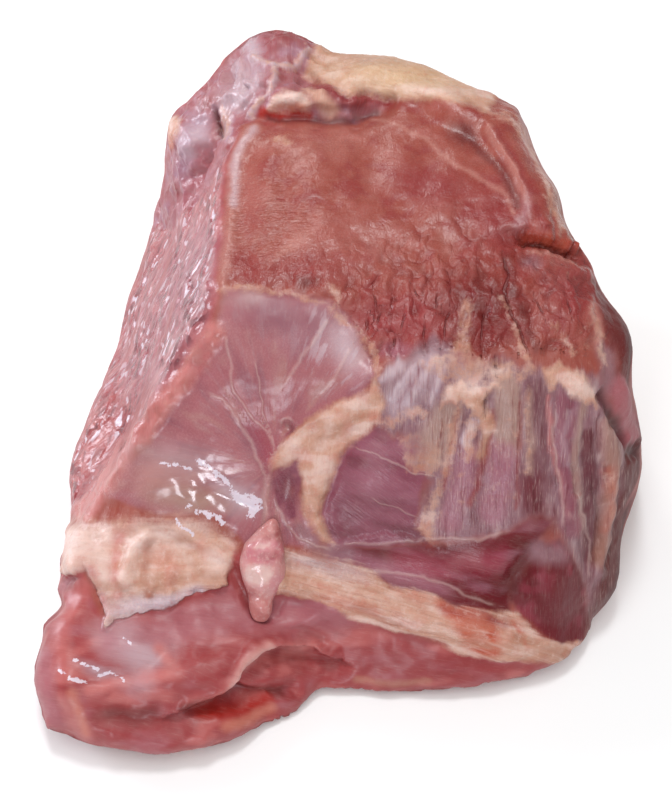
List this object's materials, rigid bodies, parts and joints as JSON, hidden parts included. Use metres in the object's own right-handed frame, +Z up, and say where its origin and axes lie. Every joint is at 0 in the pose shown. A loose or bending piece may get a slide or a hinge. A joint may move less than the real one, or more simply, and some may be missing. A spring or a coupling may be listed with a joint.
{
  "type": "raw pork shoulder",
  "caption": "Boneless raw pork shoulder: a trimmed joint with cut faces, silverskin, bands of fat and a loose flap, lying on its flat underside.",
  "frame": {"origin": "on the table, under the middle of the joint's bounding box", "axes": "+Z up from the table; -Y towards the shown front with the flap; +Y towards the neck end, along the joint's length; +X to the right of the shown front"},
  "size_m": [0.2174, 0.2634, 0.1199],
  "materials": {
    "raw_meat": "moist raw pork, pinkish red with cream fat and greyish pink silverskin"
  },
  "bodies": {
    "root": {"pork_shoulder": "raw_meat"}
  },
  "joints": []
}
